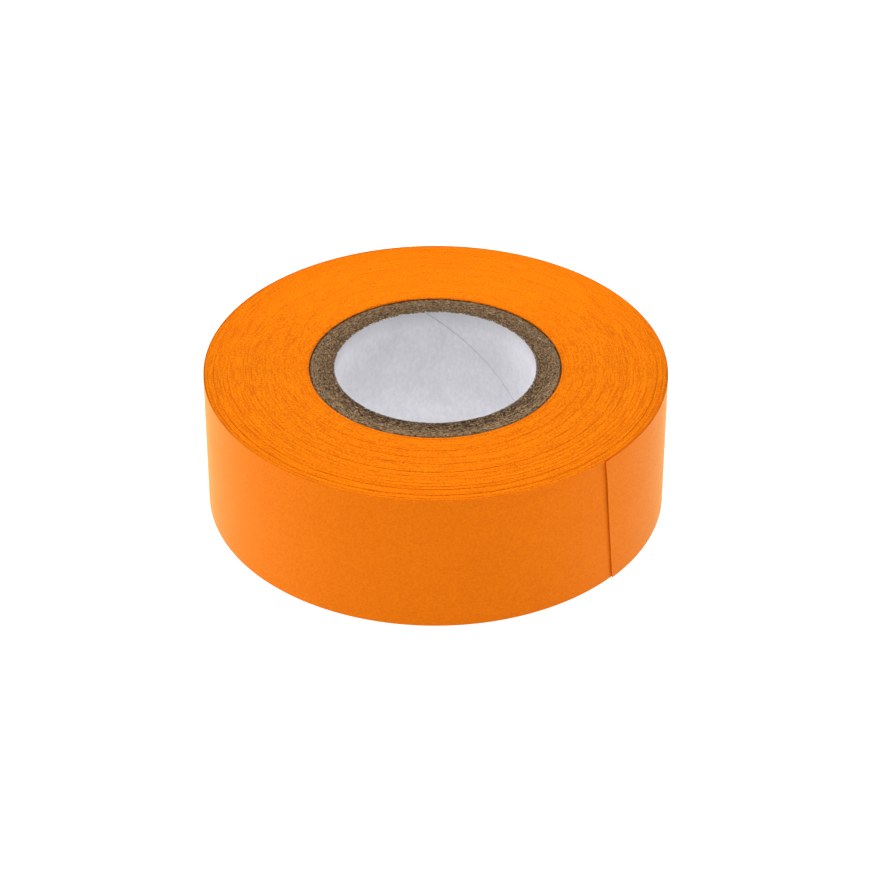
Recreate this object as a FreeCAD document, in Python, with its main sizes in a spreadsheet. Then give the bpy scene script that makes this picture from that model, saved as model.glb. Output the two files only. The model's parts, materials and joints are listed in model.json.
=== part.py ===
import FreeCAD, Part
import Sketcher
import os

# A roll of marking tape on a paper tube. Millimetres, +Z along the bore, origin at the
# centre of the face that the roll lies on. The free end of the tape is a chain of links.

PLY_COUNT = 7  # chipboard plies between the liner and the tape
LINK_COUNT = 12  # rigid links that stand for the loose end of the tape

DIMENSIONS = [
    ("tape_width", 30.16, "1-3/16 in marking tape"),
    ("roll_diameter", 94.0, "over the last turn, where the loose end leaves it"),
    ("film_thickness", 0.107, "4.2 mil film"),
    ("layer_gap", 0.03, "air between the last turns"),
    ("bore_diameter", 40.9, "inside the liner"),
    ("liner_thickness", 0.25, "white paper inside the tube"),
    ("ply_thickness", 0.68, "one ply of chipboard"),
    ("core_recess", 0.15, "from each face of the roll down to the end of the tube"),
    ("ply_lead", 101.6, "climb of a ply's seam in one whole turn"),
    ("seam_gap", 0.3, "opening between the two edges of a wound ply"),
    ("liner_seam_angle", 352.3, "where the liner's seam meets its lower end, in degrees"),
    ("seam_stagger", 75.0, "turn from one ply's seam to the next, in degrees"),
    ("tool_overrun", 2.0, "how far a cut runs past the stock"),
    ("tail_root_angle", 76.5, "where the loose end starts, in degrees"),
    ("link_angle", 10.0, "arc of one link, in degrees"),
    ("link_gap", 0.1, "between the ends of two links"),
    ("tail_offset", 0.16, "shift of the loose end's centre, which opens it towards its tip"),
    ("cut_skew", 3.4, "how far the cut end runs out of square over the width"),
]

CORE_RADIUS = (
    "(dims.bore_diameter / 2 + dims.liner_thickness + {count} * dims.ply_thickness)"
)
TURN_PITCH = "(dims.film_thickness + dims.layer_gap)"
TAIL_RADIUS = "(dims.roll_diameter / 2 - dims.film_thickness + dims.tail_offset)"
HALF_GAP_ANGLE = "(dims.link_gap / dims.roll_diameter * 180 / pi)"


def make_sheet(doc):
    sheet = doc.addObject("Spreadsheet::Sheet", "dims")
    for row, (name, value, note) in enumerate(DIMENSIONS, start=1):
        sheet.set(f"A{row}", name)
        sheet.set(f"B{row}", str(value))
        sheet.set(f"C{row}", note)
        sheet.setAlias(f"B{row}", name)
    doc.recompute()
    return sheet


def make_body(doc, label):
    body = doc.addObject("PartDesign::Body", label)
    body.Label = label
    return body


def origin_plane(body, role):
    return next(f for f in body.Origin.OriginFeatures if f.Role == role)


def new_sketch(body, name, role):
    sketch = body.newObject("Sketcher::SketchObject", name)
    sketch.AttachmentSupport = [(origin_plane(body, role), "")]
    sketch.MapMode = "FlatFace"
    return sketch


def bind(sketch, kind, name, formula, *where):
    """Add a named constraint that follows the sheet."""
    index = sketch.addConstraint(Sketcher.Constraint(kind, *where, 1.0))
    sketch.renameConstraint(index, name)
    sketch.setExpression(f"Constraints.{name}", formula)


def outline(sketch, corners):
    """Closed run of straight lines through the corners; returns the first line's number."""
    points = [FreeCAD.Vector(x, y, 0) for x, y in corners]
    first = sketch.GeometryCount
    for start, end in zip(points, points[1:] + points[:1]):
        sketch.addGeometry(Part.LineSegment(start, end), False)
    count = len(points)
    for n in range(count):
        after = first + (n + 1) % count
        sketch.addConstraint(Sketcher.Constraint("Coincident", first + n, 2, after, 1))
    return first


def rectangle(sketch, left, right, bottom, top):
    """Upright rectangle whose four sides follow formulas."""
    outline(sketch, [(1, 1), (2, 1), (2, 2), (1, 2)])
    for line, direction in enumerate(("Horizontal", "Vertical", "Horizontal", "Vertical")):
        sketch.addConstraint(Sketcher.Constraint(direction, line))
    bind(sketch, "DistanceX", "left", left, -1, 1, 0, 1)
    bind(sketch, "DistanceX", "right", right, -1, 1, 0, 2)
    bind(sketch, "DistanceY", "bottom", bottom, -1, 1, 0, 1)
    bind(sketch, "DistanceY", "top", top, -1, 1, 2, 1)


def make_ring(doc, label, inner, outer, base, length):
    """Plain tube standing on its own XY plane at the height called base."""
    body = make_body(doc, label)
    sketch = new_sketch(body, f"{label}_rings", "XY_Plane")
    for number, (name, radius) in enumerate((("inner", inner), ("outer", outer))):
        circle = Part.Circle(FreeCAD.Vector(0, 0, 0), FreeCAD.Vector(0, 0, 1), 1 + number)
        sketch.addGeometry(circle, False)
        sketch.addConstraint(Sketcher.Constraint("Coincident", number, 3, -1, 1))
        bind(sketch, "Radius", name, radius, number)
    pad = body.newObject("PartDesign::Pad", f"{label}_pad")
    pad.Profile = sketch
    pad.setExpression("Length", length)
    body.setExpression(".Placement.Base.z", base)
    return body


def cut_seam(body, inner, outer, length, angle):
    """Open the helical joint between the edges of the strip that the tube is wound from."""
    sketch = new_sketch(body, f"{body.Name}_seam_profile", "XZ_Plane")
    sketch.setExpression(".AttachmentOffset.Base.y", "-dims.tool_overrun * 1 mm")
    left = f"{inner} - dims.tool_overrun"
    right = f"{outer} + dims.tool_overrun"
    rectangle(sketch, left, right, "0", "dims.seam_gap")
    seam = body.newObject("PartDesign::SubtractiveHelix", f"{body.Name}_seam")
    seam.Profile = sketch
    seam.ReferenceAxis = (sketch, ["V_Axis"])
    seam.Mode = "pitch-height-angle"
    seam.Refine = False  # merged half walls can't be cut again cleanly
    seam.setExpression("Pitch", "dims.ply_lead * 1 mm")
    seam.setExpression("Height", f"({length} + 2 * dims.tool_overrun) * 1 mm")
    lead_in = "dims.tool_overrun / dims.ply_lead * 360"
    body.setExpression(".Placement.Rotation.Angle", f"({angle} - {lead_in}) * 1 deg")


def make_core(doc):
    """Paper tube: a white liner and plies of chipboard, each wound with its own seam."""
    length = "(dims.tape_width - 2 * dims.core_recess)"
    walls = [("core_liner", "(dims.bore_diameter / 2)", CORE_RADIUS.format(count=0))]
    for count in range(1, PLY_COUNT + 1):
        inner, outer = CORE_RADIUS.format(count=count - 1), CORE_RADIUS.format(count=count)
        walls.append((f"core_ply_{count}", inner, outer))
    bodies = []
    for number, (label, inner, outer) in enumerate(walls):
        body = make_ring(doc, label, inner, outer, "dims.core_recess * 1 mm", length)
        angle = f"dims.liner_seam_angle + {number} * dims.seam_stagger"
        cut_seam(body, inner, outer, length, angle)
        bodies.append(body)
    return bodies


def make_wound_turns(doc):
    """All the turns below the last one, tight on the tube."""
    inner = CORE_RADIUS.format(count=PLY_COUNT)
    outer = f"dims.roll_diameter / 2 - 2 * {TURN_PITCH}"
    return make_ring(doc, "tape_wound_turns", inner, outer, "0 mm", "dims.tape_width")


def make_outer_turn(doc):
    """The last whole turn: two half circles whose centres are apart, so that it climbs one
    layer and ends above its own start. Its end is on its own +X axis."""
    body = make_body(doc, "tape_outer_turn")
    sketch = new_sketch(body, "tape_outer_turn_spiral", "XY_Plane")
    up = FreeCAD.Vector(0, 0, 1)
    pi = 3.14159265
    for radius in (10, 11):
        lower = Part.Circle(FreeCAD.Vector(-0.5, 0, 0), up, radius)
        upper = Part.Circle(FreeCAD.Vector(0.5, 0, 0), up, radius + 1)
        sketch.addGeometry(Part.ArcOfCircle(lower, pi, 2 * pi), False)
        sketch.addGeometry(Part.ArcOfCircle(upper, 0, pi), False)
    sketch.addGeometry(Part.LineSegment(FreeCAD.Vector(9.5, 0, 0), FreeCAD.Vector(10.5, 0, 0)))
    sketch.addGeometry(Part.LineSegment(FreeCAD.Vector(11.5, 0, 0), FreeCAD.Vector(12.5, 0, 0)))
    inner_low, inner_high, outer_low, outer_high, start, end = range(6)
    for first, point, second, other in (
        (inner_low, 3, outer_low, 3),
        (inner_high, 3, outer_high, 3),
        (inner_low, 1, inner_high, 2),
        (outer_low, 1, outer_high, 2),
        (start, 1, inner_low, 2),
        (start, 2, outer_low, 2),
        (end, 1, inner_high, 1),
        (end, 2, outer_high, 1),
    ):
        constraint = Sketcher.Constraint("Coincident", first, point, second, other)
        sketch.addConstraint(constraint)
    for arc, point in (
        (inner_low, 3),
        (inner_high, 3),
        (inner_low, 1),
        (outer_low, 1),
        (inner_low, 2),
        (outer_low, 2),
        (inner_high, 1),
        (outer_high, 1),
    ):
        sketch.addConstraint(Sketcher.Constraint("PointOnObject", arc, point, -1))
    low_radius = f"dims.roll_diameter / 2 - dims.film_thickness - 3 * {TURN_PITCH} / 4"
    shift = f"{TURN_PITCH} / 4"
    bind(sketch, "DistanceX", "low_centre", shift, inner_low, 3, -1, 1)
    bind(sketch, "DistanceX", "high_centre", shift, -1, 1, inner_high, 3)
    bind(sketch, "Radius", "inner", low_radius, inner_low)
    bind(sketch, "Radius", "outer", f"{low_radius} + dims.film_thickness", outer_low)
    pad = body.newObject("PartDesign::Pad", "tape_outer_turn_pad")
    pad.Profile = sketch
    pad.setExpression("Length", "dims.tape_width")
    body.setExpression(".Placement.Rotation.Angle", "dims.tail_root_angle * 1 deg")
    return body


def make_link(doc, number):
    """One stiff link of the loose end. Its own +X axis is at its clockwise end."""
    body = make_body(doc, f"tape_tail_{number}")
    sketch = new_sketch(body, f"tape_tail_{number}_section", "XZ_Plane")
    right = f"{TAIL_RADIUS} + dims.film_thickness"
    rectangle(sketch, TAIL_RADIUS, right, "0", "dims.tape_width")
    film = body.newObject("PartDesign::Revolution", f"tape_tail_{number}_film")
    film.Profile = sketch
    film.ReferenceAxis = (sketch, ["V_Axis"])
    film.setExpression("Angle", f"(dims.link_angle - {HALF_GAP_ANGLE}) * 1 deg")
    film.Type = "TwoAngles"
    film.setExpression("Angle2", f"-{HALF_GAP_ANGLE} * 1 deg")
    for axis, function in (("x", "cos"), ("y", "sin")):
        formula = f"-dims.tail_offset * {function}(dims.tail_root_angle * 1 deg) * 1 mm"
        body.setExpression(f".Placement.Base.{axis}", formula)
    angle = f"(dims.tail_root_angle - {number} * dims.link_angle) * 1 deg"
    body.setExpression(".Placement.Rotation.Angle", angle)
    return body, film


def cut_free_end(body, film):
    """Run the last link past its own +X axis, then cut it off out of square."""
    margin = "(dims.cut_skew + 2 * dims.tool_overrun)"
    film.setExpression("Angle2", f"{margin} / dims.roll_diameter * 180 / pi * 1 deg")
    sketch = new_sketch(body, "free_end_cut_line", "YZ_Plane")
    outline(sketch, [(1, -1), (-1, 5), (-4, 5), (-4, -1)])
    for line, direction in ((1, "Horizontal"), (2, "Vertical"), (3, "Horizontal")):
        sketch.addConstraint(Sketcher.Constraint(direction, line))
    run = "dims.cut_skew / 2 * (1 + 2 * dims.tool_overrun / dims.tape_width)"
    bind(sketch, "DistanceX", "low_run", run, -1, 1, 0, 1)
    bind(sketch, "DistanceX", "high_run", run, 0, 2, -1, 1)
    bind(sketch, "DistanceX", "reach", f"{margin} + dims.tool_overrun", 1, 2, -1, 1)
    bind(sketch, "DistanceY", "below", "dims.tool_overrun", 0, 1, -1, 1)
    bind(sketch, "DistanceY", "above", "dims.tape_width + dims.tool_overrun", -1, 1, 0, 2)
    cut = body.newObject("PartDesign::Pocket", "free_end_cut")
    cut.Profile = sketch
    cut.Type = "ThroughAll"
    cut.Reversed = True
    return cut


def make_tail(doc):
    """The loose end of the tape, from the root clockwise to its cut end."""
    bodies = []
    for number in range(1, LINK_COUNT + 1):
        body, film = make_link(doc, number)
        bodies.append(body)
    cut = cut_free_end(body, film)
    doc.recompute()
    if not cut.Shape.Volume < film.Shape.Volume:
        raise RuntimeError("the free end's cut removed nothing")
    return bodies


def check_document(doc, bodies):
    for item in doc.Objects:
        if "Invalid" in item.State or "Error" in item.State:
            raise RuntimeError(f"{item.Label} failed: {item.State}")
    for body in bodies:
        shape = body.Shape
        if shape.isNull() or not shape.isValid() or len(shape.Solids) != 1:
            raise RuntimeError(f"{body.Label} isn't one valid solid")


def main():
    doc = FreeCAD.newDocument("tape_roll")
    make_sheet(doc)
    bodies = make_core(doc)
    bodies.append(make_wound_turns(doc))
    bodies.append(make_outer_turn(doc))
    bodies += make_tail(doc)
    doc.recompute()
    check_document(doc, bodies)
    os.makedirs("parts", exist_ok=True)
    for body in bodies:
        body.Shape.exportStep(f"parts/{body.Label}.step")
        print(f"{body.Label}: {body.Shape.Volume:.2f} mm3")


main()
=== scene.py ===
import json
import math
import random

import bmesh
import bpy
from mathutils import Matrix, Vector


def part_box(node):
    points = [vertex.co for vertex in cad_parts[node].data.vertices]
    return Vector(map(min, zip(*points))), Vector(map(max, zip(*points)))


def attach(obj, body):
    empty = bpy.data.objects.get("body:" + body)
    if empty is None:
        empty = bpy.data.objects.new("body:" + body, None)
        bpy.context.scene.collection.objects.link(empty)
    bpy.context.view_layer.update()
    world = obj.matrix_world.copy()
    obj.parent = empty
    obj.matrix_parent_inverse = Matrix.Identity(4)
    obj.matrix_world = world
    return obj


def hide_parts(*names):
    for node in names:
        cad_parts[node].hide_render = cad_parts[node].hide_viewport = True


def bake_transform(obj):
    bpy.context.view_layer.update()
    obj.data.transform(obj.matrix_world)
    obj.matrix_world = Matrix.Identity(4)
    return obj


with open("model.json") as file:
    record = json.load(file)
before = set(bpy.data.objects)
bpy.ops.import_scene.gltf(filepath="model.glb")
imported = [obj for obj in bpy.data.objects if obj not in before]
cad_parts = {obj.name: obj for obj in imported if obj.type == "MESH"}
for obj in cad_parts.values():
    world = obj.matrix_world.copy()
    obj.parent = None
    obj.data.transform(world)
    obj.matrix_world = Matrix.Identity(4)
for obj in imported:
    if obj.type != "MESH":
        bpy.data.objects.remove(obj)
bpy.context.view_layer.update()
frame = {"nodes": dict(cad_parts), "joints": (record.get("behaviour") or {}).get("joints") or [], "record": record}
mm = 0.001
weld = 0.0005 * mm  # points nearer than this are one
rng = random.Random(41)

# what the frame says about the roll
hinges = [Vector(joint["pos_m"]) for joint in frame["joints"]]
tapeLow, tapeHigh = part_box("tape_wound_turns")
coreLow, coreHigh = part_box("core_ply_7")
linerLow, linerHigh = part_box("core_liner")
boreRadius = frame["record"]["mounts"][0]["dims"]["r_mm"] * mm
linerRadius = (linerHigh.x - linerLow.x) / 2
coreRadius = (coreHigh.x - coreLow.x) / 2
packRadius = (tapeHigh.x - tapeLow.x) / 2
plyNames = sorted(name for name in frame["nodes"] if name.startswith("core_ply_"))

film = {
    "thickness": 0.107 * mm,
    "pitch": 0.137 * mm,  # one layer and the air under it, in the last turns
    "linkArc": math.radians(10),
}
rollRadius = hinges[0].xy.length + film["thickness"] / 2


# small helpers for modelling by hand
def deselectAll():
    if bpy.context.object and bpy.context.object.mode != "OBJECT":
        bpy.ops.object.mode_set(mode="OBJECT")
    bpy.ops.object.select_all(action="DESELECT")


def makeActive(piece):
    deselectAll()
    piece.select_set(True)
    bpy.context.view_layer.objects.active = piece


def editStart(piece):
    makeActive(piece)
    bpy.ops.object.mode_set(mode="EDIT")
    bpy.ops.mesh.select_mode(type="VERT")


def editEnd():
    bpy.ops.object.mode_set(mode="OBJECT")


def pick(piece, test):
    # in edit mode: leaves selected just the vertices that pass the test
    shape = bmesh.from_edit_mesh(piece.data)
    for vert in shape.verts:
        vert.select = test(vert.co)
    shape.select_flush_mode()
    bmesh.update_edit_mesh(piece.data)


def dot(name, place):
    # a mesh of one vertex, still in edit mode, to extrude from
    deselectAll()
    bpy.ops.mesh.primitive_plane_add(size=mm, location=place)
    piece = bpy.context.object
    piece.name = piece.data.name = name
    bpy.ops.object.transform_apply(location=True, rotation=True, scale=True)
    editStart(piece)
    bpy.ops.mesh.select_all(action="SELECT")
    bpy.ops.mesh.merge(type="CENTER")
    return piece


def drawLine(name, points):
    piece = dot(name, points[0])
    for start, end in zip(points, points[1:]):
        bpy.ops.mesh.extrude_region_move(TRANSFORM_OT_translate={"value": end - start})
    return piece


def spinOn(steps, angle, centre=(0, 0)):
    # sweeps what is selected about the vertical; the operator counts clockwise
    middle = (centre[0], centre[1], 0)
    bpy.ops.mesh.spin(steps=steps, angle=-angle, center=middle, axis=(0, 0, 1))


def spinAll(steps, angle, centre=(0, 0)):
    bpy.ops.mesh.select_all(action="SELECT")
    spinOn(steps, angle, centre)


def closeUp():
    bpy.ops.mesh.select_all(action="SELECT")
    bpy.ops.mesh.remove_doubles(threshold=weld)
    bpy.ops.mesh.normals_make_consistent(inside=False)


def faceFromAxis(piece, side):
    # side 1: an open wall's faces look away from the axis, -1: towards it
    face = piece.data.polygons[0]
    if side * face.normal.xy.dot(face.center.xy) < 0:
        editStart(piece)
        bpy.ops.mesh.select_all(action="SELECT")
        bpy.ops.mesh.flip_normals()
        editEnd()


def addModifier(piece, kind, **settings):
    makeActive(piece)
    modifier = piece.modifiers.new(kind.lower(), kind)
    for key, value in settings.items():
        setattr(modifier, key, value)
    bpy.ops.object.modifier_apply(modifier=modifier.name)


def smooth(piece, degrees=35):
    makeActive(piece)
    bpy.ops.object.shade_smooth_by_angle(angle=math.radians(degrees))


def atAngle(radius, angle, z=0.0, centre=(0, 0)):
    return Vector((centre[0] + radius * math.cos(angle), centre[1] + radius * math.sin(angle), z))


def joinAll(pieces, name):
    deselectAll()
    for piece in pieces:
        piece.select_set(True)
    bpy.context.view_layer.objects.active = pieces[0]
    bpy.ops.object.join()
    joined = bpy.context.object
    joined.name = joined.data.name = name
    return joined


# one socket of a material's node tree, so that shader maths reads as maths
class Value:
    def __init__(self, graph, socket):
        self.graph = graph
        self.socket = socket

    def combine(self, operation, first, second):
        return self.graph.node("ShaderNodeMath", {"operation": operation}, {0: first, 1: second})

    def __add__(self, other):
        return self.combine("ADD", self, other)

    def __sub__(self, other):
        return self.combine("SUBTRACT", self, other)

    def __rsub__(self, other):
        return self.combine("SUBTRACT", other, self)

    def __mul__(self, other):
        return self.combine("MULTIPLY", self, other)

    def __truediv__(self, other):
        return self.combine("DIVIDE", self, other)


class Graph:
    def __init__(self, name, **constants):
        self.material = bpy.data.materials.new(name)
        self.material.use_nodes = True
        self.tree = self.material.node_tree
        self.shader = self.tree.nodes["Principled BSDF"]
        for key, value in constants.items():
            self.shader.inputs[key.replace("_", " ")].default_value = value
        self.place = self.node("ShaderNodeTexCoord", out="Object")

    def node(self, kind, settings=None, sockets=None, out=0):
        made = self.tree.nodes.new(kind)
        for key, value in (settings or {}).items():
            if key == "stops":
                ramp = made.color_ramp.elements
                while len(ramp) < len(value):
                    ramp.new(0.5)
                for stop, (position, colour) in zip(ramp, value):
                    stop.position = position
                    stop.color = colour
            else:
                setattr(made, key, value)
        for key, value in (sockets or {}).items():
            if isinstance(value, Value):
                self.tree.links.new(value.socket, made.inputs[key])
            else:
                made.inputs[key].default_value = value
        return Value(self, made.outputs[out])

    def noise(self, place, detail, roughness):
        sockets = {"Vector": place, "Scale": 1.0, "Detail": detail, "Roughness": roughness}
        return self.node("ShaderNodeTexNoise", None, sockets)

    def grain(self, scale, detail, roughness):
        # noise with its own scale on each axis
        sockets = {"Vector": self.place, "Scale": scale}
        return self.noise(self.node("ShaderNodeMapping", None, sockets), detail, roughness)

    def ringGrain(self, polar, outwards, around, detail, roughness):
        # noise drawn out along the turns
        radius, across, along = polar
        sockets = {0: radius * outwards, 1: across * around, 2: along * around}
        return self.noise(self.node("ShaderNodeCombineXYZ", None, sockets), detail, roughness)

    def span(self, value, low, high, newLow=0.0, newHigh=1.0):
        sockets = {0: value, 1: low, 2: high, 3: newLow, 4: newHigh}
        return self.node("ShaderNodeMapRange", {"clamp": True}, sockets)

    def blendColour(self, share, first, second):
        sockets = {0: share, 6: first, 7: second}
        return self.node("ShaderNodeMix", {"data_type": "RGBA"}, sockets, out=2)

    def ramp(self, value, stops):
        return self.node("ShaderNodeValToRGB", {"stops": stops}, {0: value})

    def bump(self, height, distance, strength):
        sockets = {"Height": height, "Distance": distance, "Strength": strength}
        return self.node("ShaderNodeBump", None, sockets)

    def feed(self, **links):
        for key, value in links.items():
            self.tree.links.new(value.socket, self.shader.inputs[key.replace("_", " ")])
        return self.material

    def axes(self):
        x = self.node("ShaderNodeSeparateXYZ", None, {0: self.place})
        outputs = x.socket.node.outputs
        return x, Value(self, outputs["Y"]), Value(self, outputs["Z"])

    def polar(self):
        # radius about the roll's axis, then x and y as shares of it
        x, y = self.axes()[:2]
        radius = self.node("ShaderNodeMath", {"operation": "SQRT"}, {0: x * x + y * y})
        return radius, x / radius, y / radius


# grains are listed as scale, detail and roughness, ring grains as scale outwards,
# scale around the roll, detail and roughness
filmLook = {
    "colour": (0.905, 0.201, 0.0, 1),
    "deep": (0.80, 0.160, 0.0, 1),
    "gloss": 0.035,
    "roughness": (0.40, 0.50),
    "sheen": 0.36,
    "sheenTint": (0.95, 0.88, 0.24, 1),
    "sheenRoughness": 0.4,
    "cloud": ((60, 60, 60), 3.0, 0.5),
    "drawn": ((25, 25, 900), 2.0, 0.5),  # lines along the film, from its drawing
    "grain": ((2000, 2000, 2000), 3.0, 0.8),
    "deepSpan": (1.45, 2.05),
    "relief": 0.010 * mm,
    "reliefStrength": 0.6,
}


def filmMaterial():
    g = Graph(
        "tapeFilm", Specular_IOR_Level=filmLook["gloss"], Sheen_Weight=filmLook["sheen"],
        Sheen_Tint=filmLook["sheenTint"], Sheen_Roughness=filmLook["sheenRoughness"],
    )
    cloud = g.grain(*filmLook["cloud"])
    drawn = g.grain(*filmLook["drawn"])
    grain = g.grain(*filmLook["grain"])
    share = g.span(cloud * 0.3 + drawn * 0.2 + grain * 3.0, *filmLook["deepSpan"])
    colour = g.blendColour(share, filmLook["colour"], filmLook["deep"])
    roughness = g.span(cloud + drawn * 0.5, 0.5, 1.0, *filmLook["roughness"])
    height = grain * 0.8 + drawn * 0.6
    normal = g.bump(height, filmLook["relief"], filmLook["reliefStrength"])
    return g.feed(Base_Color=colour, Roughness=roughness, Normal=normal)


edgeLook = {
    "colour": (0.97, 0.225, 0.0, 1),
    "paintedSideShade": (0.86, 0.225, 0.0, 1),  # painted shade, at both sides and the front of the face
    "deep": (0.60, 0.112, 0.0, 1),
    "gloss": 0.03,
    "roughness": (0.60, 0.75),
    "hair": (6500, 9, 2.0, 0.6),
    "fine": (2600, 6, 4.0, 0.7),
    "wide": (1300, 2.5, 2.0, 0.5),
    "grain": ((2500, 2500, 2500), 3.0, 0.8),
    "lineSpan": (0.46, 0.72),
    "paintedSideShadeSpan": (0.1, 0.9),
    "shadeWidth": 1.3 * mm,  # the turns by the tube are a little darker
    "shade": 0.25,
    "paintedGapShadow": (0.13, 0.065, 0.010, 1),  # painted shadow in the gap between the tube and the first turn
    "paintedGapShadowWidth": 0.20 * mm,
    "paintedGapShadowFade": (-0.12 * mm, 0.06 * mm),
    "paintedGapShadowRagged": 0.5 * mm,
    "relief": 0.03 * mm,
    "reliefStrength": 0.8,
}


def edgeMaterial():
    g = Graph("tapeEdges", Specular_IOR_Level=edgeLook["gloss"])
    polar = g.polar()
    radius, across, along = polar
    hair = g.ringGrain(polar, *edgeLook["hair"])
    fine = g.ringGrain(polar, *edgeLook["fine"])
    wide = g.ringGrain(polar, *edgeLook["wide"])
    grain = g.grain(*edgeLook["grain"])
    lines = g.span(hair * 0.65 + fine * 0.35 + (wide - 0.5) * 0.12, *edgeLook["lineSpan"])
    # painted shade: the face darker, with stronger lines and grain, at both sides and the front
    paintedSideShade = g.span(across * across - along * 0.35, *edgeLook["paintedSideShadeSpan"])
    shadeEnd = coreRadius + edgeLook["shadeWidth"]
    nearTube = g.span(radius, coreRadius, shadeEnd, edgeLook["shade"], 0.0)
    marks = lines * (paintedSideShade * 0.4 + 0.65) + (grain - 0.42) * (paintedSideShade * 0.8 + 3.0)
    share = g.span(marks + nearTube + paintedSideShade * 0.04, 0.0, 1.0)
    face = g.blendColour(paintedSideShade, edgeLook["colour"], edgeLook["paintedSideShade"])
    colour = g.blendColour(share, face, edgeLook["deep"])
    # painted shadow along the gap between the tube and the first turn, with a ragged edge
    paintedGapShadowEdge = (grain - 0.5) * edgeLook["paintedGapShadowRagged"] + (coreRadius + edgeLook["paintedGapShadowWidth"])
    paintedGapShadow = g.span(radius - paintedGapShadowEdge, *edgeLook["paintedGapShadowFade"], 1.0, 0.0)
    colour = g.blendColour(paintedGapShadow, colour, edgeLook["paintedGapShadow"])
    roughness = g.span(grain, 0.3, 0.7, *edgeLook["roughness"])
    height = fine * 1.2 + hair * 0.6 + grain * 1.1
    normal = g.bump(height, edgeLook["relief"], edgeLook["reliefStrength"])
    return g.feed(Base_Color=colour, Roughness=roughness, Normal=normal)


board = {
    "dark": (0.022, 0.0105, 0.004, 1),
    "middle": (0.109, 0.061, 0.029, 1),
    "light": (0.275, 0.178, 0.094, 1),
    "speck": (0.42, 0.32, 0.20, 1),
    "stops": (0.40, 0.50, 0.63),
    "gloss": 0.15,
    "roughness": 0.95,
    "fibre": (4200, 34, 4.0, 0.75),
    "fleck": (3300, 45, 2.0, 0.5),
    "patch": (1500, 13, 2.0, 0.5),
    "clump": ((900, 900, 900), 4.0, 0.7),
    "fleckSpan": (0.62, 0.72),
    "frontLightSpan": (0.2, -0.9),  # painted light and shade, strongest at the front
    "relief": 0.12 * mm,
    "reliefStrength": 0.8,
}


def boardColour(g, depth):
    # depth: 0 by the liner, 1 by the tape; the outer plies are paler
    polar = g.polar()
    fibre = g.ringGrain(polar, *board["fibre"])
    fleck = g.ringGrain(polar, *board["fleck"])
    patch = g.ringGrain(polar, *board["patch"])
    clump = g.grain(*board["clump"])
    # painted light and shade at the front of the ring: stronger fibre streaks and patches, paler outer and darker
    # inner plies
    front = g.span(polar[2], *board["frontLightSpan"])
    tone = fibre * 0.8 + clump * 0.2 + (front * 0.09 + 0.045) * depth - front * 0.045 - 0.010
    tone = tone + (fibre - 0.5) * front * 0.45 + (patch - 0.5) * (front * 0.24 + 0.06)
    colours = board["dark"], board["middle"], board["light"]
    colour = g.ramp(tone, list(zip(board["stops"], colours)))
    colour = g.blendColour(g.span(fleck, *board["fleckSpan"]), colour, board["speck"])
    return colour, fibre + clump * 0.8


def boardMaterial(name, depth):
    g = Graph(name, Specular_IOR_Level=board["gloss"], Roughness=board["roughness"])
    colour, height = boardColour(g, depth)
    normal = g.bump(height, board["relief"], board["reliefStrength"])
    return g.feed(Base_Color=colour, Normal=normal)


paper = {
    "white": (0.785, 0.78, 0.815, 1),
    "shade": (0.685, 0.68, 0.715, 1),
    # painted shade: the liner darker towards both its ends
    "paintedEndShade": (0.53, 0.525, 0.545, 1),
    "paintedEndShadeDepth": 3.6 * mm,
    "paintedEndShadeShare": 0.8,
    "furDepth": 0.16 * mm,  # how far board fibres cover the liner's cut edges
    "furFade": 0.05 * mm,
    "gloss": 0.3,
    "roughness": (0.55, 0.72),
    "cloud": ((160, 160, 160), 4.0, 0.6),
    "fibre": ((1500, 1500, 900), 3.0, 0.6),
    "ragged": ((2600, 2600, 900), 3.0, 0.7),
    "shadeSpan": (0.62, 1.0),
    "relief": 0.02 * mm,
    "reliefStrength": 0.5,
}


def linerMaterial():
    g = Graph("linerPaper", Specular_IOR_Level=paper["gloss"])
    cloud = g.grain(*paper["cloud"])
    fibre = g.grain(*paper["fibre"])
    ragged = g.grain(*paper["ragged"])
    share = g.span(cloud * 0.7 + fibre * 0.9, *paper["shadeSpan"])
    white = g.blendColour(share, paper["white"], paper["shade"])
    middle = tapeHigh.z / 2
    fromMiddle = g.node("ShaderNodeMath", {"operation": "ABSOLUTE"}, {0: g.axes()[2] - middle})
    toEdge = linerHigh.z - middle - fromMiddle
    # painted shade, darkest at the liner's two ends
    paintedEndShading = g.span(toEdge, 0.0, paper["paintedEndShadeDepth"], paper["paintedEndShadeShare"], 0.0)
    white = g.blendColour(paintedEndShading, white, paper["paintedEndShade"])
    furEdge = (ragged - 0.42) * paper["furDepth"] * 4
    fur = g.span(toEdge - furEdge, 0.0, paper["furFade"], 1.0, 0.0)
    colour = g.blendColour(fur, white, boardColour(g, 0.0)[0])
    roughness = g.span(fibre, 0.3, 0.7, *paper["roughness"])
    normal = g.bump(cloud * 2 + fibre, paper["relief"], paper["reliefStrength"])
    return g.feed(Base_Color=colour, Roughness=roughness, Normal=normal)


fuzz = {
    "board": ((0.07, 0.042, 0.024, 1), (0.32, 0.23, 0.14, 1)),
    "liner": ((0.30, 0.26, 0.22, 1), (0.72, 0.70, 0.70, 1)),
    "stops": (0.4, 0.6),
    "tone": ((700, 700, 700), 2.0, 0.5),
    "gloss": 0.1,
    "roughness": 0.9,
}


def fuzzMaterial(name, colours):
    g = Graph(name, Specular_IOR_Level=fuzz["gloss"], Roughness=fuzz["roughness"])
    tone = g.grain(*fuzz["tone"])
    return g.feed(Base_Color=g.ramp(tone, list(zip(fuzz["stops"], colours))))


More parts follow.
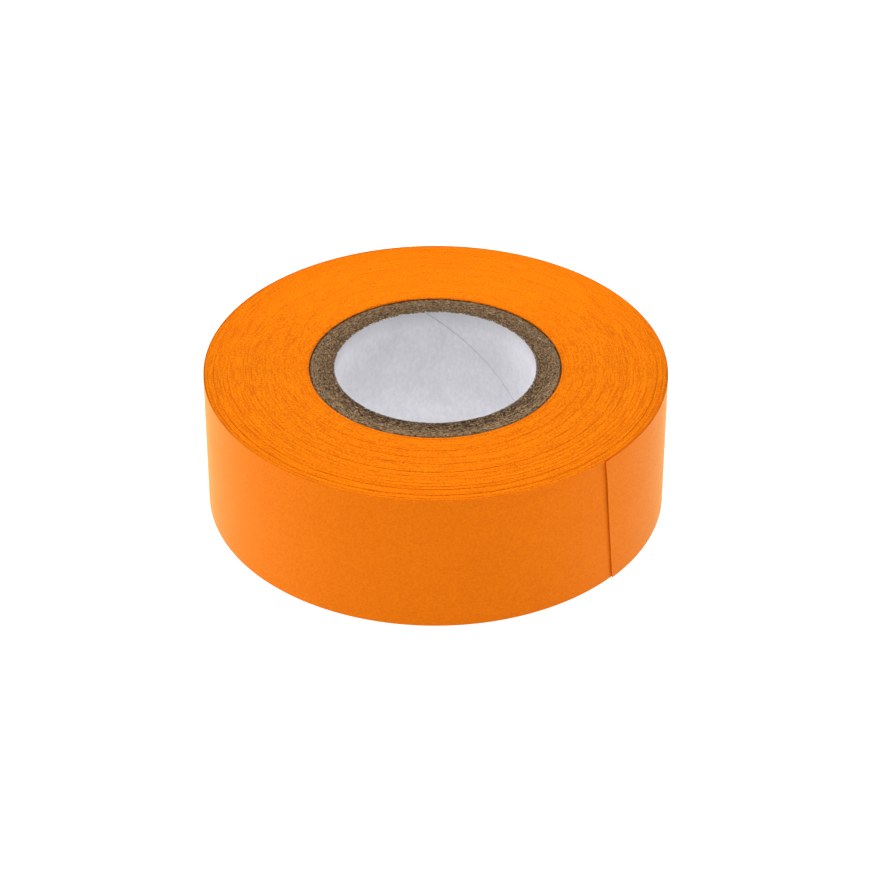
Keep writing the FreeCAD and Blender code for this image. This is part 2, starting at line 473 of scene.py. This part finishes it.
tapeFilm = filmMaterial()
tapeEdges = edgeMaterial()
linerPaper = linerMaterial()
boardFuzz = fuzzMaterial("boardFuzz", fuzz["board"])
linerFuzz = fuzzMaterial("linerFuzz", fuzz["liner"])
print("materials ready")


turns = {
    "segments": 256,
    "pitch": 0.1065 * mm,
    "film": 0.098 * mm,
    "clear": 0.11 * mm,  # between the tube and the first turn
    "width": 29.90 * mm,
    "crestInner": 0.02 * mm,  # how far the turns lie below the face, by the tube
    "crestOuter": 0.12 * mm,  # and by the rim
    "highest": 0.005 * mm,
    "lowest": 0.25 * mm,
    # outer edge of each band as a share of the roll, then in mm the step down to the
    # next band and the gap there
    "bands": [
        (0.645, 0.02, 0.01),
        (0.6925, 0.03, 0.015),
        (0.7375, 0.025, 0.015),
        (0.795, 0.03, 0.02),
        (0.8275, 0.05, 0.03),
        (0.875, 0.035, 0.02),
        (0.895, 0.03, 0.02),
        (0.915, 0.035, 0.02),
        (0.955, 0.09, 0.06),
        (0.979, 0.07, 0.03),
        (1.0, 0.04, 0.0),
    ],
    "smallStep": (0.002 * mm, 0.024 * mm),
    "smallRun": (1, 6),  # turns from one small step to the next
    "wander": 0.005 * mm,
    "tilt": 0.00022,  # radians, one standard deviation
    "sunken": (0.14 * mm, 0.09 * mm, 0.05 * mm, 0.02 * mm),  # the first turns, by the tube
}


def turnDroops(count, crest, step):
    # each run of turns climbs outwards a little, then steps down
    droops = []
    while len(droops) < count:
        run = rng.randint(*turns["smallRun"])
        small = rng.uniform(*turns["smallStep"])
        for place in range(run):
            climbed = crest + step * (1 - len(droops) / count) + small * (1 - place / run)
            droops.append(climbed + rng.gauss(0, turns["wander"]))
    return droops[:count]


def bandOfTurns(number, inner, outer, crest, step):
    # the turns are open tubes of film, one in another, thickened together
    count = max(1, round((outer - inner) / turns["pitch"]))
    pitch = (outer - inner) / count
    droops = turnDroops(count, crest, step)
    if number == 1:
        for turn, sink in enumerate(turns["sunken"]):
            droops[turn] += sink
    deselectAll()
    for turn, droop in enumerate(droops):
        droop = min(max(droop, turns["highest"]), turns["lowest"])
        middle = Vector((0, 0, tapeHigh.z - droop - turns["width"] / 2))
        bpy.ops.mesh.primitive_cylinder_add(
            vertices=turns["segments"], radius=inner + (turn + 0.5) * pitch,
            depth=turns["width"], end_fill_type="NOTHING", location=middle,
        )
        if turn == 0:
            piece = bpy.context.object
            bpy.ops.object.transform_apply(location=True, rotation=True, scale=True)
            bpy.ops.object.mode_set(mode="EDIT")
            bpy.ops.mesh.select_all(action="SELECT")
        bpy.ops.transform.rotate(
            value=rng.gauss(0, turns["tilt"]), orient_axis=rng.choice("XY"), center_override=middle,
        )
    editEnd()
    piece.name = piece.data.name = f"tapeTurns{number:02d}"
    addModifier(piece, "SOLIDIFY", thickness=turns["film"], offset=0)
    return piece


def buildTurns():
    inner = coreRadius + turns["clear"]
    crest = turns["crestInner"]
    crestSpan = turns["crestOuter"] - turns["crestInner"]
    for number, (share, step, gap) in enumerate(turns["bands"], start=1):
        outer = min(share * rollRadius, packRadius)
        piece = bandOfTurns(number, inner, outer - gap * mm / 2, crest, step * mm)
        smooth(piece)
        piece.data.materials.append(tapeEdges)
        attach(piece, "roll")
        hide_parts("tape_wound_turns")
        crest = turns["crestInner"] + crestSpan * (outer - coreRadius) / (rollRadius - coreRadius)
        inner = outer + gap * mm / 2


buildTurns()
print("wound turns:", len(turns["bands"]), "bands")


strip = {
    "low": 0.02 * mm,
    "drop": 0.13 * mm,  # below the roll's upper face
    "stepsPerLink": 16,
    "rows": 6,
    "stepAngle": math.radians(1.0),
    "cutSkew": 3.4 * mm,
    # share of a link before each hinge where the film starts to bend: least by the root,
    # where the film lies closest to the roll
    "bendStart": (0.3, 0.5),
    "bendGrowth": 0.03,
    "tipRadius": 85 * mm,  # the very end is straighter, so it stands off
}


def circleThrough(a, b, c):
    # centre and radius of the circle through three points, seen from above
    ax, ay, bx, by, cx, cy = a.x, a.y, b.x, b.y, c.x, c.y
    d = 2 * (ax * (by - cy) + bx * (cy - ay) + cx * (ay - by))
    aa, bb, cc = ax * ax + ay * ay, bx * bx + by * by, cx * cx + cy * cy
    x = (aa * (by - cy) + bb * (cy - ay) + cc * (ay - by)) / d
    y = (aa * (cx - bx) + bb * (ax - cx) + cc * (bx - ax)) / d
    return Vector((x, y)), (Vector((x, y)) - a.xy).length


tailCentre, tailRadius = circleThrough(hinges[0], hinges[len(hinges) // 2], hinges[-1])
rootAngle = math.atan2(hinges[0].y - tailCentre.y, hinges[0].x - tailCentre.x)
halfLink = film["linkArc"] / 2
stripLow = tapeLow.z + strip["low"]
stripHigh = tapeHigh.z - strip["drop"]
stripWidth = Vector((0, 0, stripHigh - stripLow))


def onTail(angle, z=0.0):
    return atAngle(tailRadius, angle, z, tailCentre)


def uprightEdge(name, place):
    piece = drawLine(name, [place, place + stripWidth])
    bpy.ops.mesh.select_all(action="SELECT")
    bpy.ops.mesh.subdivide(number_cuts=strip["rows"] - 1)
    return piece


def finishStrip(piece):
    closeUp()
    editEnd()
    faceFromAxis(piece, 1)
    addModifier(piece, "SOLIDIFY", thickness=film["thickness"], offset=0)
    smooth(piece)
    piece.data.materials.append(tapeFilm)


def buildOuterTurn():
    # two half circles with their centres apart, as the turn climbs over its own start
    shift = film["pitch"] / 4
    farRadius = hinges[0].xy.length - shift
    farCentre = Vector((math.cos(rootAngle), math.sin(rootAngle))) * shift
    start = atAngle(farRadius, rootAngle + halfLink, stripLow, farCentre)
    piece = uprightEdge("tapeOuterTurn", start)
    halfSteps = round(math.pi / strip["stepAngle"])
    spinAll(halfSteps, math.pi - halfLink, farCentre)
    spinOn(halfSteps, math.pi, -farCentre)
    finishStrip(piece)
    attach(piece, "roll")
    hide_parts("tape_outer_turn")


def buildTailPiece(number):
    # from the middle of one link to the middle of the next, across their hinge
    hinge = rootAngle - (number - 1) * film["linkArc"]
    piece = uprightEdge(f"tapeTail{number:02d}", onTail(hinge + halfLink, stripLow))
    spinAll(strip["stepsPerLink"], -film["linkArc"], tailCentre)
    finishStrip(piece)
    least, most = strip["bendStart"]
    lead = min(most, least + strip["bendGrowth"] * (number - 1))
    bendFrom = onTail(hinge + lead * film["linkArc"])
    bendTo = onTail(hinge - halfLink)
    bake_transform(piece)
    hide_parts(f"tape_tail_{number}")


def buildTip(number):
    # the outer half of the last link, cut off out of square
    end = rootAngle - number * film["linkArc"]
    piece = uprightEdge("tapeTip", onTail(end + halfLink, stripLow))
    reach = halfLink * tailRadius + strip["cutSkew"]
    tipCentre = atAngle(tailRadius - strip["tipRadius"], end + halfLink, 0, tailCentre)
    spinAll(strip["stepsPerLink"], -reach / strip["tipRadius"], tipCentre)
    outwards = Vector((math.cos(end), math.sin(end), 0))
    onwards = Vector((math.sin(end), -math.cos(end), 0))  # clockwise along the tape
    cutNormal = outwards.cross(stripWidth + onwards * strip["cutSkew"]).normalized()
    if cutNormal.dot(onwards) < 0:
        cutNormal.negate()
    cutMiddle = onTail(end, (stripLow + stripHigh) / 2)
    bpy.ops.mesh.select_all(action="SELECT")
    bpy.ops.mesh.bisect(plane_co=cutMiddle, plane_no=cutNormal, clear_outer=True)
    finishStrip(piece)
    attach(piece, f"tail_{number}")
    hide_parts(f"tape_tail_{number}")


buildOuterTurn()
for linkNumber in range(1, len(hinges) + 1):
    buildTailPiece(linkNumber)
buildTip(len(hinges))
print("outer turn and loose end:", len(hinges), "links")


tube = {
    "segments": 480,
    "radialCuts": 3,
    "rough": 0.04 * mm,
    "roughDepth": 0.3 * mm,  # from both cut ends
    "edgeRound": 0.05 * mm,
    "outerRound": 0.36 * mm,
    "smoothTo": 50,  # degrees
}


def plyRadii():
    # outer radius of the liner and of each ply
    radii = [linerRadius]
    for name in plyNames:
        low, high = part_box(name)
        radii.append((high.x - low.x) / 2)
    return radii


def ringSection(inner, outer, roundOut):
    # closed outline of a ply's wall, with eased corners and extra points across its ends
    low, high = coreLow.z, coreHigh.z
    roundIn, cuts = tube["edgeRound"], tube["radialCuts"]
    flat = outer - roundOut - inner - roundIn
    across = [inner + roundIn + flat * cut / cuts for cut in range(cuts + 1)]
    top = [(inner, high - roundIn)] + [(r, high) for r in across] + [(outer, high - roundOut)]
    across.reverse()
    bottom = [(outer, low + roundOut)] + [(r, low) for r in across] + [(inner, low + roundIn)]
    points = [Vector((r, 0, z)) for r, z in top + bottom]
    return points + points[:1]


def buildPlies():
    radii = plyRadii()
    roughLow = coreLow.z + tube["roughDepth"]
    roughHigh = coreHigh.z - tube["roughDepth"]
    for number, name in enumerate(plyNames, start=1):
        last = number == len(plyNames)
        roundOut = tube["outerRound"] if last else tube["edgeRound"]
        section = ringSection(radii[number - 1], radii[number], roundOut)
        piece = drawLine(f"corePly{number}", section)
        spinAll(tube["segments"], 2 * math.pi)
        closeUp()
        pick(piece, lambda co: co.z > roughHigh or co.z < roughLow)
        bpy.ops.transform.vertex_random(offset=tube["rough"], seed=number)
        editEnd()
        smooth(piece, tube["smoothTo"])
        depth = (number - 1) / (len(plyNames) - 1)
        piece.data.materials.append(boardMaterial(f"chipboard{number}", depth))
        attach(piece, "roll")
        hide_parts(name)


buildPlies()
print("plies:", len(plyNames))


liner = {
    "lead": 101.6 * mm,  # climb of the seam in one turn
    "gap": 0.12 * mm,
    "topSeamAngle": math.radians(96),
    "rows": 140,
    "segments": 300,
    "paperShare": 0.96,  # of the liner's thickness; the rest is glue
    "wavy": 0.012 * mm,
    "seamRagged": 0.035 * mm,
    "endRagged": 0.03 * mm,
    "endDepth": 0.03 * mm,
    "seeds": (5, 8, 3),  # of the waves, the seam and the ends
}


def buildLiner():
    low, high = linerLow.z, linerHigh.z
    waveSeed, seamSeed, endSeed = liner["seeds"]
    start = liner["topSeamAngle"] - (high - low) / liner["lead"] * 2 * math.pi
    # the strip's first edge stands below the tube, one whole turn of the seam down
    foot = atAngle(boreRadius, start, low - liner["lead"])
    head = foot + Vector((0, 0, liner["lead"] - liner["gap"]))
    piece = drawLine("coreLiner", [foot, head])
    bpy.ops.mesh.select_all(action="SELECT")
    bpy.ops.mesh.subdivide(number_cuts=liner["rows"])
    editEnd()
    addModifier(
        piece, "SCREW", axis="Z", angle=2 * math.pi, screw_offset=liner["lead"], iterations=2,
        steps=liner["segments"], render_steps=liner["segments"], use_merge_vertices=False,
    )
    for height, side in ((high, "clear_outer"), (low, "clear_inner")):
        editStart(piece)
        bpy.ops.mesh.select_all(action="SELECT")
        bpy.ops.mesh.bisect(plane_co=(0, 0, height), plane_no=(0, 0, 1), **{side: True})
        editEnd()
    editStart(piece)
    closeUp()
    bpy.ops.transform.vertex_random(offset=liner["wavy"], seed=waveSeed)
    bpy.ops.mesh.select_all(action="DESELECT")
    bpy.ops.mesh.select_non_manifold()
    bpy.ops.transform.vertex_random(offset=liner["seamRagged"], seed=seamSeed)
    endLow, endHigh = low + liner["endDepth"], high - liner["endDepth"]
    pick(piece, lambda co: co.z > endHigh or co.z < endLow)
    bpy.ops.transform.vertex_random(offset=liner["endRagged"], seed=endSeed)
    editEnd()
    faceFromAxis(piece, -1)
    thickness = (linerRadius - boreRadius) * liner["paperShare"]
    addModifier(piece, "SOLIDIFY", thickness=thickness, offset=-1)
    smooth(piece)
    piece.data.materials.append(linerPaper)
    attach(piece, "roll")
    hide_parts("core_liner")


buildLiner()
print("liner ready")


fibres = {
    "kinks": ((-0.2, (0, 0.9, 0.5)), (0.25, (0, -0.8, 0.3))),  # place along the hair, shift
    "board": {
        "count": 420,
        "thickness": 0.055 * mm,
        "length": (0.5 * mm, 1.9 * mm),
        "inset": 0.3 * mm,
        "lift": 0.088 * mm,  # most that one end stands above the other
        "turn": 0.25,
    },
    "overTape": {
        "count": 170,
        "length": (0.3 * mm, 0.8 * mm),
        "inset": 0.1 * mm,
        "sink": 0.02 * mm,
        "lean": 0.05,
        "turn": 0.8,
    },
    "liner": {
        "count": 150,
        "thickness": 0.10 * mm,
        "length": (0.15 * mm, 0.55 * mm),
        "spread": 0.12 * mm,
        "sink": 0.04 * mm,
        "lean": 0.1,
        "turn": 0.2,
    },
}


def fibreModel():
    # a kinked hair, 1 long, along X; every fibre is a stretched copy of it
    deselectAll()
    bpy.ops.mesh.primitive_cylinder_add(
        vertices=3, radius=0.5, depth=1, end_fill_type="NGON",
        rotation=(0, math.pi / 2, 0), location=(0, 0, 0),
    )
    piece = bpy.context.object
    bpy.ops.object.transform_apply(location=True, rotation=True, scale=True)
    editStart(piece)
    for share, kink in fibres["kinks"]:
        bpy.ops.mesh.select_all(action="SELECT")
        bpy.ops.mesh.bisect(plane_co=(share, 0, 0), plane_no=(1, 0, 0))
        bpy.ops.transform.translate(value=kink)
    editEnd()
    return piece


def scatterFibres(name, material, thickness, places):
    # places: radius, angle, height, length, lean and turn of each fibre
    model = fibreModel()
    copies = []
    for radius, angle, z, length, lean, turn in places:
        mesh = model.data.copy()
        size = Matrix.Diagonal((length, thickness, thickness, 1))
        heading = Matrix.Rotation(angle + math.pi / 2 + turn, 4, "Z")
        aim = heading @ Matrix.Rotation(-lean, 4, "Y")
        mesh.transform(Matrix.Translation(atAngle(radius, angle, z)) @ aim @ size)
        copy = bpy.data.objects.new(name, mesh)
        bpy.context.scene.collection.objects.link(copy)
        copies.append(copy)
    bpy.data.objects.remove(model)
    piece = joinAll(copies, name)
    piece.data.materials.clear()
    piece.data.materials.append(material)
    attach(piece, "roll")


def buildFibres():
    high = coreHigh.z
    fullTurn = 2 * math.pi
    places = []
    kind = fibres["board"]
    for _ in range(kind["count"]):
        length = rng.uniform(*kind["length"])
        radius = rng.uniform(boreRadius + kind["inset"], coreRadius - kind["inset"])
        lean = rng.uniform(0, kind["lift"]) / length
        angle = rng.uniform(0, fullTurn)
        places.append((radius, angle, high, length, lean, rng.gauss(0, kind["turn"])))
    kind = fibres["overTape"]
    for _ in range(kind["count"]):
        length = rng.uniform(*kind["length"])
        angle = rng.uniform(0, fullTurn)
        radius, z = coreRadius - kind["inset"], high - kind["sink"]
        places.append((radius, angle, z, length, kind["lean"], rng.gauss(0, kind["turn"])))
    scatterFibres("tubeFibres", boardFuzz, fibres["board"]["thickness"], places)
    places = []
    kind = fibres["liner"]
    for _ in range(kind["count"]):
        length = rng.uniform(*kind["length"])
        radius = boreRadius + rng.uniform(0, kind["spread"])
        angle, z = rng.uniform(0, fullTurn), high - kind["sink"]
        places.append((radius, angle, z, length, kind["lean"], rng.gauss(0, kind["turn"])))
    scatterFibres("linerFibres", linerFuzz, kind["thickness"], places)


buildFibres()
print("fibres ready")


stage = {
    "floorSize": 6.0,
    "floor": (0.20, 0.20, 0.20, 1),
    "floorGlow": 1.08,  # a light table, so the floor stays plain
    "floorGloss": 0.1,
    "floorRoughness": 0.9,
    "white": (1, 1, 1, 1),
    "world": 0.33,
    # place, what it points at, size and power
    "topLight": ((-0.05, 0.38, 0.93), (0, 0, 0), 0.9, 11.4),
    "leftLight": ((-0.9, 0.2, 0.30), (0, 0, 0.02), 0.6, 4.8),
    "rightLight": ((0.9, 0.2, 0.30), (0, 0, 0.02), 0.35, 2.1),
    "frontLight": ((-0.1, -0.9, 0.20), (0, 0, 0.02), 0.6, 1.2),
}


def buildStage():
    deselectAll()
    bpy.ops.mesh.primitive_plane_add(size=stage["floorSize"], location=(0, 0, 0))
    floor = bpy.context.object
    floor.name = "floor"
    g = Graph("floorPaper", Specular_IOR_Level=stage["floorGloss"],
              Roughness=stage["floorRoughness"], Base_Color=stage["floor"],
              Emission_Color=stage["white"], Emission_Strength=stage["floorGlow"])
    floor.data.materials.append(g.material)


def areaLight(name):
    place, target, size, power = stage[name]
    deselectAll()
    bpy.ops.object.light_add(type="AREA", location=place)
    light = bpy.context.object
    light.name = name
    light.data.size = size
    light.data.energy = power
    aim = Vector(target) - Vector(place)
    light.rotation_euler = aim.to_track_quat("-Z", "Y").to_euler()


def buildLight():
    world = bpy.data.worlds.new("studio")
    bpy.context.scene.world = world
    world.use_nodes = True
    background = world.node_tree.nodes["Background"]
    background.inputs["Color"].default_value = stage["white"]
    background.inputs["Strength"].default_value = stage["world"]
    for name in ("topLight", "leftLight", "rightLight", "frontLight"):
        areaLight(name)


view = {
    "distance": 13.18,  # in radii of the roll, from the middle of its upper face
    "elevation": math.radians(33.32),
    "tilt": math.radians(1.3262),
    "pan": math.radians(0.015),
    "lens": 126.165,
    "sensor": 36,
    "clip": (0.01, 50),
}


def buildCamera():
    rise = view["elevation"]
    back = Vector((0, -math.cos(rise), math.sin(rise)))
    camera = bpy.data.cameras.new("camera")
    camera.sensor_width = view["sensor"]
    camera.lens = view["lens"]
    camera.clip_start, camera.clip_end = view["clip"]
    holder = bpy.data.objects.new("camera", camera)
    bpy.context.scene.collection.objects.link(holder)
    holder.location = Vector((0, 0, tapeHigh.z)) + back * view["distance"] * rollRadius
    holder.rotation_euler = (math.pi / 2 - rise - view["tilt"], 0, -view["pan"])
    bpy.context.scene.camera = holder


buildStage()
buildLight()
buildCamera()
bpy.context.scene.view_settings.view_transform = "Standard"
print("stage ready")
